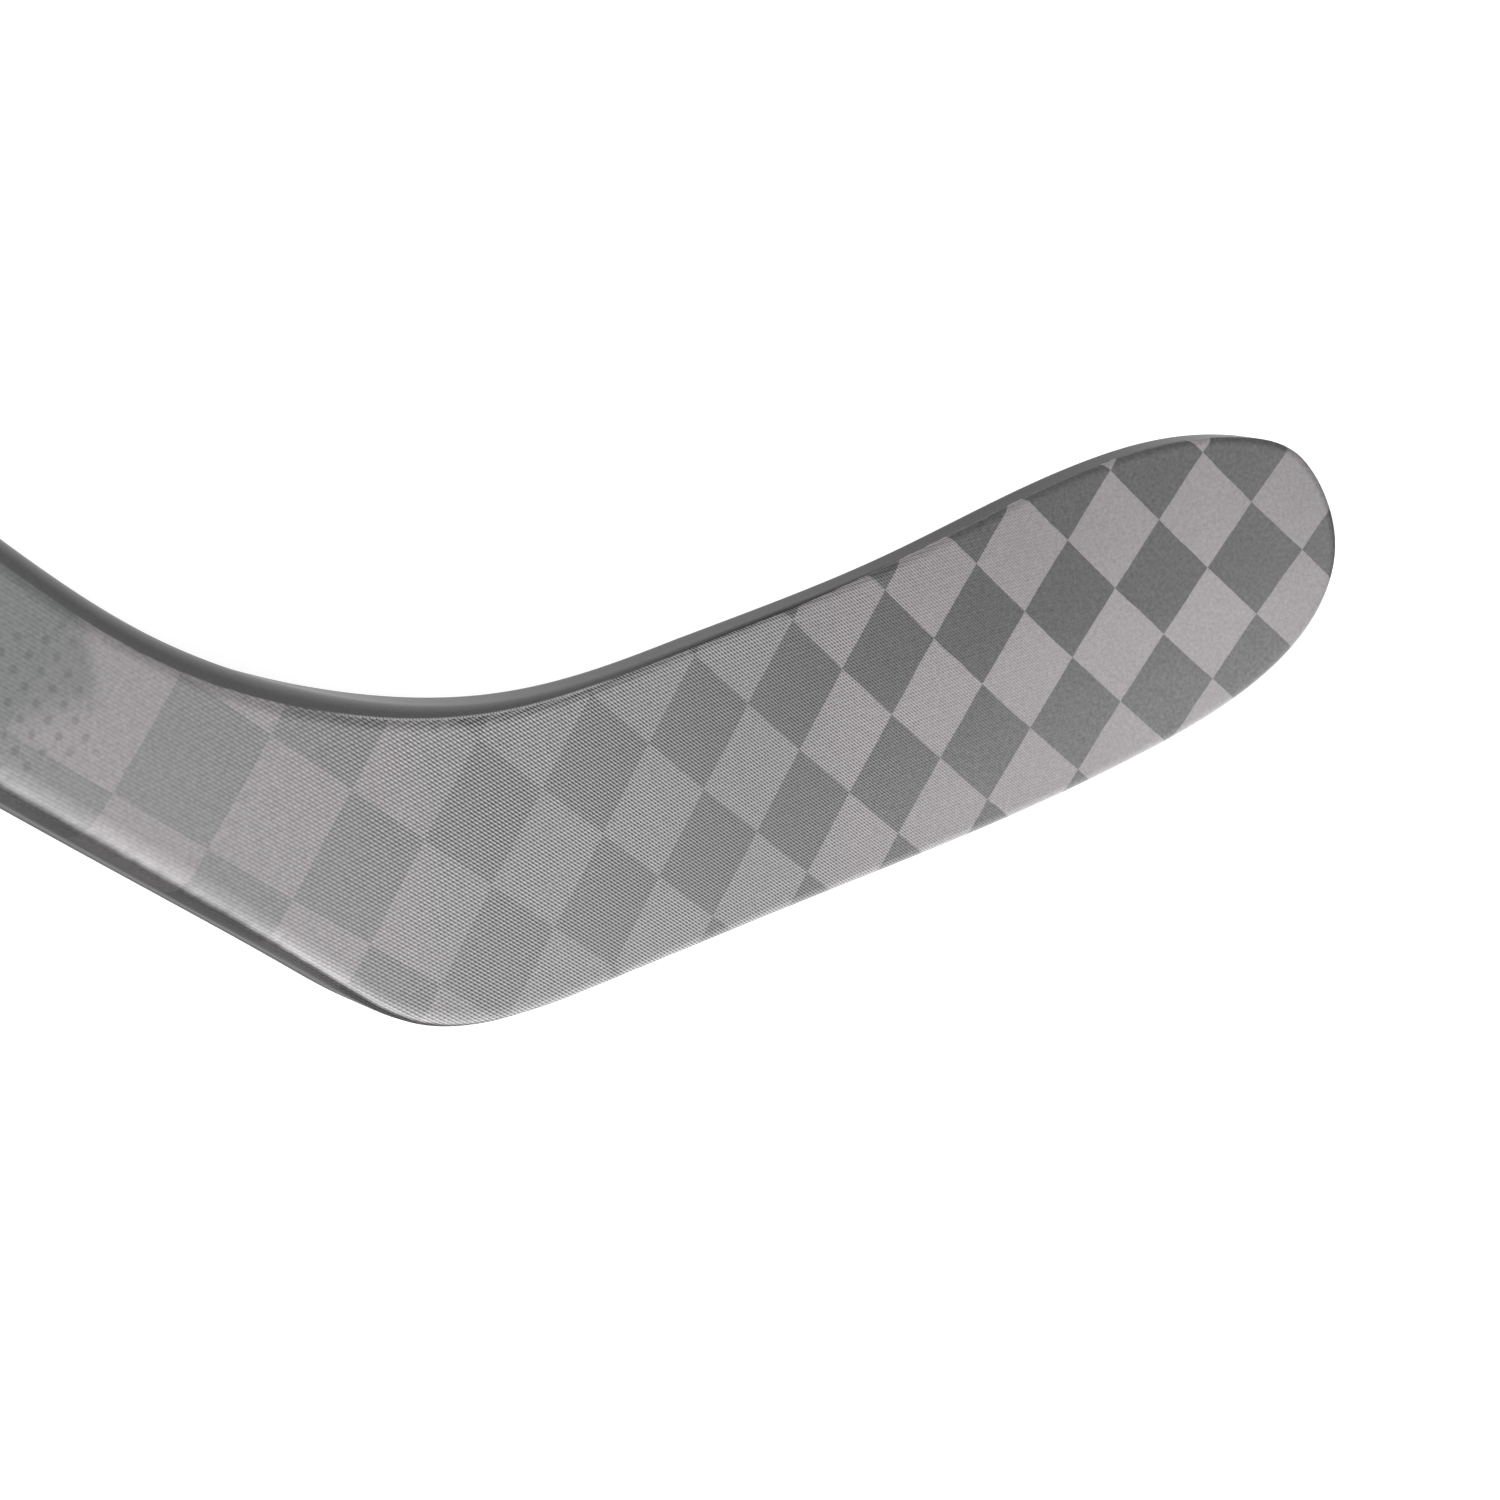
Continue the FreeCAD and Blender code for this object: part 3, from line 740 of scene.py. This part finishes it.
def tape_colours_with_painted_light(n, along, across, mark, near_toe):
    """The lit and the unlit tapes' colours, which drift along the blade. Near the toe painted light
    brightens them towards the bottom edge, and painted shade darkens the lit ones at the tip.
    """
    light = n.mix(n.ease(along, *LIT_TURNS), LIT_TAPE_HOSEL, LIT_TAPE_TOE)
    light = n.mix(n.ease(mark, 0.65, 0.9), light, LIT_TAPE_MARKED)
    # painted light: the lit tapes brighter towards the bottom edge near the toe
    painted_rise = n.gain(near_toe, n.ease(across, *LIT_PAINTED_RISE, -0.07, 0.07))
    # painted shade: the lit tapes darker at the tip of the toe
    light = n.shade(light, n.times(n.ease(along, *TIP_PAINTED_SHADE, 1.0, 0.86), painted_rise))
    unlit = n.mix(n.ease(along, *UNLIT_TURNS), UNLIT_TAPE_HOSEL, UNLIT_TAPE_TOE)
    # painted light: the unlit tapes brighter towards the bottom edge near the toe
    unlit = n.shade(unlit, n.gain(near_toe, n.ease(across, *UNLIT_PAINTED_RISE, 0.0, 0.45)))
    return light, unlit


def fibre_streaks(n, squares, unlit_share):
    """Fibres run along each tape, so they turn with the check."""
    one_way = n.noise(n.stretch(squares, (3.0, 120.0, 1.0)), 1.0)
    other_way = n.noise(n.stretch(squares, (120.0, 3.0, 1.0)), 1.0)
    return n.add(n.times(one_way, unlit_share), n.times(other_way, n.rest(unlit_share)))


def add_hosel_layer(n, tape, cloth, along, across):
    """The second layer on the hosel, with staggered dots."""
    veil = n.times(n.ease(along, *VEIL_ALONG), n.ease(across, *VEIL_ACROSS))
    tape = n.mix(n.times(veil, VEIL_STRENGTH), tape, UNDERLAY)
    dots = n.times(n.wave(cloth, DOT_ROW), n.wave(cloth, DOT_COLUMN))
    spotted = n.times(n.ease(along, *DOTS_ALONG), n.ease(across, *DOTS_UPPER))
    spotted = n.times(spotted, n.ease(across, *DOTS_LOWER))
    return n.shade(tape, n.rest(n.times(spotted, n.ease(dots, 0.35, 0.9, 0.0, DOT_STRENGTH))))


def peel_ply_threads(n, cloth, place, mark, unlit_share):
    """The mark of the peel ply's threads, which is deeper on the unlit tapes, those without the
    painted sheen.
    """
    cross = n.add(n.times(n.wave(cloth, WEFT), WEFT_SHARE), n.times(n.wave(cloth, WARP), WARP_SHARE))
    threads = n.add(n.times(n.wave(cloth, DIAGONAL), DIAGONAL_SHARE), cross)
    depth = n.times(mark, n.gain(unlit_share, 0.3))
    return n.times(threads, n.times(depth, n.gain(n.noise(place, 0.15), 0.15)))


def bare_band(n, rim, along, place):
    """Bare carbon of the edge, darker towards the toe, and darker away from the face with painted
    shade.
    """
    # painted shade across the band
    band = n.mix(n.ease(rim, -3.2, -0.3), BAND_OUTER, BAND_INNER)
    level = n.ease(along, *BAND_DARKENS, 1.0, 0.28)
    return n.shade(band, n.add(n.times(n.noise(place, 1.2, 3.0), 0.07), level))


def stitch_share(n, rim, rim_along, x, y):
    """Stitches of light resin along the moulding line."""
    stitched = n.times(
        n.ease(x, SEAM_START, SEAM_START + SEAM_FADE), n.ease(x, SEAM_END, SEAM_END - SEAM_FADE)
    )
    beside = n.math("ABSOLUTE", rim)
    stitched = n.times(stitched, n.times(n.ease(beside, 0.26, 0.12), n.ease(y, 20.0, 25.0)))
    return n.times(stitched, n.ease(n.math("SINE", n.times(rim_along, STITCH)), -0.6, 0.6, 0.25, 1.0))


def rear_side_painted_shade(n, place, x, y):
    """The upright rear side: how much of it a point is, and its brightness there, a painted shade
    that is darkest on the upright wall and beneath.
    """
    upward = n.upward()
    ragged = n.gain(n.noise(place, 0.35, 3.0), 0.03, upward)
    ragged = n.add(ragged, n.ease(x, *SIDE_WIDENS, -0.06, 0.0))
    side = n.times(n.ease(ragged, 0.87, 0.62), n.ease(upward, -0.995, -0.93))
    side = n.times(side, n.times(n.ease(x, *SIDE_FADES), n.ease(y, 5.0, 0.0)))
    # painted shade: the rear side darker the less it faces up
    side_shade = n.ease(upward, 0.0, 0.6, SIDE_SHADE_LOW, SIDE_SHADE_HIGH)
    side_shade = n.add(side_shade, n.ease(x, *SIDE_LIGHTENS, 0.2, 0.0))
    return side, n.times(side_shade, n.ease(x, *SIDE_DARKENS, 1.0, 0.7))


def make_laminate():
    """Woven spread-tow tape under resin, marked by peel ply, with the bare edge's carbon. Painted
    sheen lights half the tapes of the check, and painted shade darkens the rear side.
    """
    n = Nodes("spread_tow_laminate", 0.36, specular=FACE_SPECULAR)
    squares, cloth, place = n.map("squares"), n.map("cloth"), n.place()
    rim, rim_along = n.split(n.map("rim"))
    along, across = n.split(cloth)
    x, y = n.split(place)
    mark = n.times(n.ease(along, *MARK_DEEPENS, 0.1, 1.0), n.ease(along, *MARK_FADES, 1.0, 0.04))
    near_toe = n.ease(along, *NEAR_TOE)

    wander = n.times(n.noise(place, 0.09), 0.008)
    a, b = n.split(squares)
    cells = n.add(n.math("FLOOR", n.add(a, wander)), n.math("FLOOR", n.math("SUBTRACT", b, wander)))
    # the unlit tapes of the check, the ones without the painted sheen
    unlit_share = n.math("FLOORED_MODULO", cells, 2.0)
    light, unlit = tape_colours_with_painted_light(n, along, across, mark, near_toe)
    tape = add_hosel_layer(n, n.mix(unlit_share, light, unlit), cloth, along, across)

    # threads, resin grain, and a few bright specks in it
    threads = peel_ply_threads(n, cloth, place, mark, unlit_share)
    grain = n.noise(place, 1.2, 3.0)
    grain_depth = n.gain(n.times(unlit_share, near_toe), 0.16, 0.18)
    cloudy = n.add(
        n.times(n.noise(place, 0.045), 0.02), n.times(fibre_streaks(n, squares, unlit_share), 0.012)
    )
    speck = n.ease(n.node("TexVoronoi", place, 0.0, 0.11), 0.035, 0.02)
    change = n.add(n.add(n.times(grain, grain_depth), cloudy), n.times(threads, THREAD_CONTRAST))
    tape = n.shade(tape, n.add(change, n.gain(speck, 0.35)))

    # the cloth ends in a ragged line, with stitches along a part of it
    ragged = n.gain(n.noise(place, 0.45, 3.0), 0.12, rim)
    colour = n.mix(n.ease(ragged, -0.08, 0.08), bare_band(n, rim, along, place), tape)
    colour = n.mix(stitch_share(n, rim, rim_along, x, y), colour, MOULDING)

    # painted shade on the rear side, where the gloss is lowered too
    side, brightness = rear_side_painted_shade(n, place, x, y)
    colour = n.shade(colour, n.rest(n.times(side, n.rest(brightness))))
    gloss = n.ease(rim, -0.3, 0.1, BAND_SPECULAR, FACE_SPECULAR)
    n.feed(n.shader.inputs["Specular IOR Level"], n.times(gloss, n.gain(side, -SIDE_GLOSS_LOSS)))
    return n.finish(colour, n.add(threads, n.times(grain, 0.25)), 0.012)


def make_shaft_material():
    """Satin carbon: fine fibres along the shaft under a clear coat."""
    n = Nodes("satin_shaft", 0.38, specular=0.5, coat=0.35, coat_roughness=0.25)
    place = n.place()
    fibres = n.noise(n.stretch(place, (0.02, 1.6, 1.6)), 1.0, 3.0)
    cloud = n.noise(n.stretch(place, (0.012, 0.05, 0.05)), 1.0)
    change = n.add(n.add(n.times(fibres, 0.10), n.times(cloud, 0.06)), 1.0)
    return n.finish(n.shade((0.060, 0.060, 0.062), change), fibres, 0.006)


def make_wrap_material():
    """A band of fine cloth under resin."""
    n = Nodes("joint_wrap_cloth", 0.36, specular=0.5, coat=0.3, coat_roughness=0.2)
    cloth = n.map("cloth")
    threads = n.times(n.wave(cloth, (0.6, 0.6)), n.wave(cloth, (0.6, -0.6)))
    grain = n.noise(n.place(), 1.2, 3.0)
    change = n.add(n.add(n.times(threads, 0.12), n.times(grain, 0.08)), 1.0)
    return n.finish(n.shade((0.055, 0.055, 0.057), change), threads, 0.015)


def make_rubber():
    n = Nodes("plug_rubber_black", 0.7, specular=0.35)
    place = n.place()
    grain = n.noise(place, 1.1, 4.0)
    change = n.add(n.times(grain, 0.12), 1.0)
    return n.finish(n.shade((0.018, 0.018, 0.019), change), grain, 0.03)


def make_foam():
    n = Nodes("cream_foam", 0.9, specular=0.2)
    cells = n.node("TexVoronoi", n.place(), 0.0, 0.9)
    change = n.math("MULTIPLY_ADD", cells, 0.25, 0.85)
    return n.finish(n.shade((0.78, 0.73, 0.58), change), cells, 0.3)


def make_inner_carbon():
    n = Nodes("inner_carbon_black", 0.6, specular=0.4)
    fibres = n.noise(n.stretch(n.place(), (0.08, 1.5, 1.5)), 1.0, 3.0)
    return n.finish(n.shade((0.05, 0.05, 0.05), n.add(n.times(fibres, 0.2), 1.0)), fibres, 0.02)


def make_epoxy():
    n = Nodes("amber_epoxy", 0.3, specular=0.5)
    cloud = n.noise(n.place(), 0.25, 3.0)
    return n.finish(n.shade((0.52, 0.42, 0.22), n.add(n.times(cloud, 0.15), 1.0)), cloud, 0.05)


def dress_cad_nodes():
    """Materials for the inner pieces, which keep their CAD shape."""
    foam, carbon, epoxy = make_foam(), make_inner_carbon(), make_epoxy()
    by_slot = {"foam": foam, "inner_carbon": carbon, "epoxy": epoxy}
    for subpart in frame["record"]["subparts"]:
        material = by_slot.get(subpart["material_slot"])
        if material:
            materials = frame["nodes"][subpart["node"]].data.materials
            materials.clear()
            materials.append(material)


# ---------------------------------------------------------------- stage, light and camera


FLOOR_COLOUR, FLOOR_GLOW = (0.35, 0.35, 0.35), 0.85


def make_stage():
    """A grey floor whose glow makes it look white, so that it takes almost no shadow."""
    size = 6.0
    mesh = bpy.data.meshes.new("floor")
    corners = [(-size, -size, 0), (size, -size, 0), (size, size, 0), (-size, size, 0)]
    mesh.from_pydata(corners, [], [(0, 1, 2, 3)])
    n = Nodes("pale_floor", 0.9, specular=0.1)
    n.shader.inputs["Emission Color"].default_value = (1.0, 1.0, 1.0, 1.0)
    n.shader.inputs["Emission Strength"].default_value = FLOOR_GLOW
    mesh.materials.append(n.finish(FLOOR_COLOUR))
    floor = bpy.data.objects.new("floor", mesh)
    bpy.context.scene.collection.objects.link(floor)


WORLD_BRIGHT, WORLD_DIM = 2.1, 0.2
WORLD_TURNS = (0.33, 0.69)  # levels between which the room goes from bright to dim
WORLD_RISE = 0.5  # a direction's level is its Y plus this much of its Z


def make_world():
    """A pale room, brighter low and on the rear side of the stick than high on the other."""
    world = bpy.data.worlds.new("studio")
    bpy.context.scene.world = world
    world.use_nodes = True
    tree = world.node_tree
    background = tree.nodes["Background"]
    background.inputs["Color"].default_value = (1.0, 1.0, 1.0, 1.0)
    coordinate = tree.nodes.new("ShaderNodeTexCoord")
    split = tree.nodes.new("ShaderNodeSeparateXYZ")
    tree.links.new(coordinate.outputs["Generated"], split.inputs[0])
    level = tree.nodes.new("ShaderNodeMath")
    level.operation = "MULTIPLY_ADD"
    tree.links.new(split.outputs[2], level.inputs[0])
    level.inputs[1].default_value = WORLD_RISE
    tree.links.new(split.outputs[1], level.inputs[2])
    strength = tree.nodes.new("ShaderNodeMapRange")
    strength.interpolation_type = "SMOOTHSTEP"
    tree.links.new(level.outputs[0], strength.inputs["Value"])
    strength.inputs["From Min"].default_value, strength.inputs["From Max"].default_value = WORLD_TURNS
    strength.inputs["To Min"].default_value = WORLD_BRIGHT
    strength.inputs["To Max"].default_value = WORLD_DIM
    tree.links.new(strength.outputs[0], background.inputs["Strength"])


KEY_PLACE, KEY_TARGET = (1.23, -0.656, 0.30), (0.68, 0.0, 0.02)
KEY_SIZE, KEY_POWER = (0.6, 0.4), 3.0


def make_softbox():
    light = bpy.data.lights.new("key", "AREA")
    light.shape = "RECTANGLE"
    light.size, light.size_y = KEY_SIZE
    light.energy = KEY_POWER
    lamp = bpy.data.objects.new("key", light)
    lamp.location = KEY_PLACE
    lamp.rotation_mode = "QUATERNION"
    lamp.rotation_quaternion = (Vector(KEY_TARGET) - Vector(KEY_PLACE)).to_track_quat("-Z", "Y")
    bpy.context.scene.collection.objects.link(lamp)


CAMERA_PLACE = (0.493503, -0.030607, 0.232365)
CAMERA_TURN = (0.841442, 0.010919, -0.475686, 0.256083)  # a quaternion
CAMERA_LENS, CAMERA_SENSOR = 43.48, 36.0  # millimetres


def make_camera():
    data = bpy.data.cameras.new("camera")
    data.lens, data.sensor_width = CAMERA_LENS, CAMERA_SENSOR
    data.clip_start, data.clip_end = 0.01, 50.0
    camera = bpy.data.objects.new("camera", data)
    camera.location = CAMERA_PLACE
    camera.rotation_mode = "QUATERNION"
    camera.rotation_quaternion = CAMERA_TURN
    bpy.context.scene.collection.objects.link(camera)
    bpy.context.scene.camera = camera
    bpy.context.scene.view_settings.view_transform = "Standard"


make_blade(make_laminate())
make_shaft(make_shaft_material())
make_wrap(make_wrap_material())
make_end_plug(make_rubber())
dress_cad_nodes()
make_stage()
make_world()
make_softbox()
make_camera()
